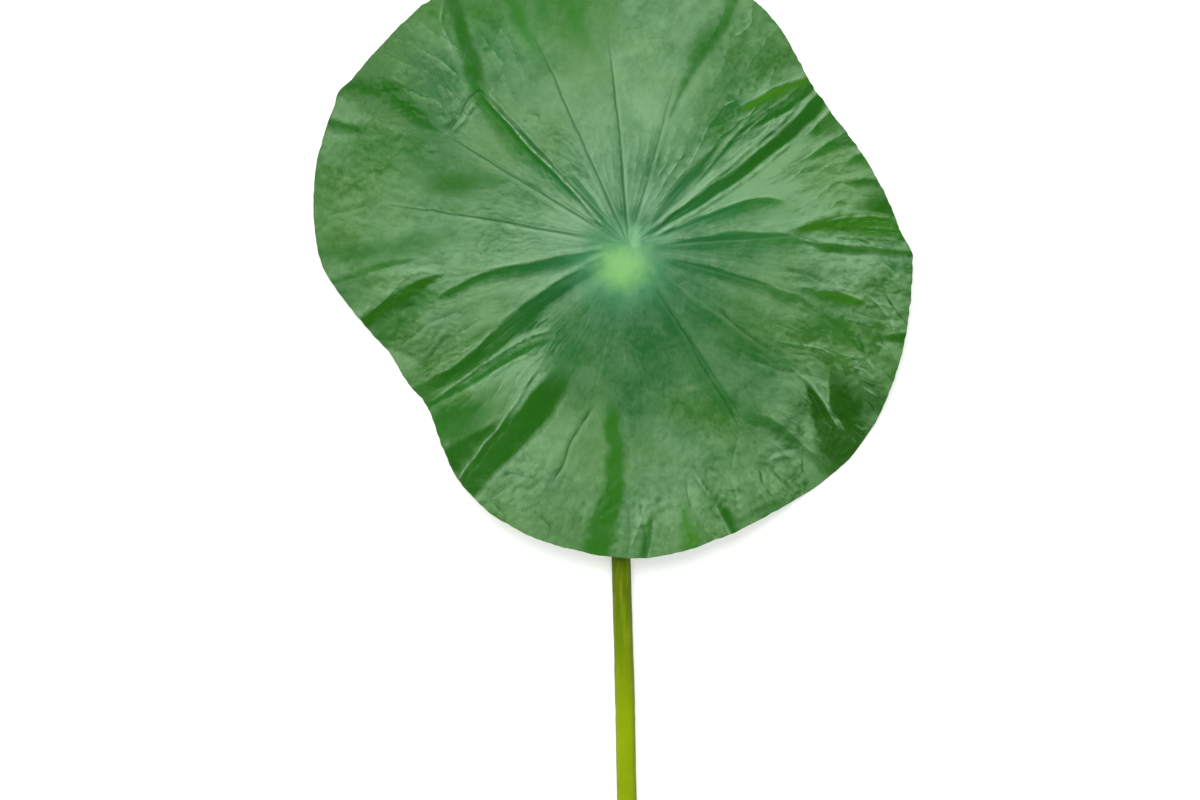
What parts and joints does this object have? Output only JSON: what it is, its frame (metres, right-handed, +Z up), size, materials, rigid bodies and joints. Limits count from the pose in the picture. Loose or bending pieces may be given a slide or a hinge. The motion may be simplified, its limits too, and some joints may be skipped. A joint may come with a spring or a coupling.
{
  "type": "lotus leaf",
  "caption": "Cut lotus leaf: a round, wavy-edged green blade, veined out from its middle, on a long smooth yellow-green stalk, lying on a flat surface.",
  "frame": {"origin": "on the surface that the leaf lies on, under the middle of the whole leaf's outline", "axes": "+Z up from the surface, +Y from the stalk's cut end towards the blade, +X to the right seen from above"},
  "size_m": [0.2962, 0.5515, 0.0366],
  "materials": {
    "leaf_blade": "satin",
    "leaf_stalk": "satin"
  },
  "bodies": {
    "root": {"leaf_blade": "leaf_blade", "leaf_stalk": "leaf_stalk"}
  },
  "joints": []
}
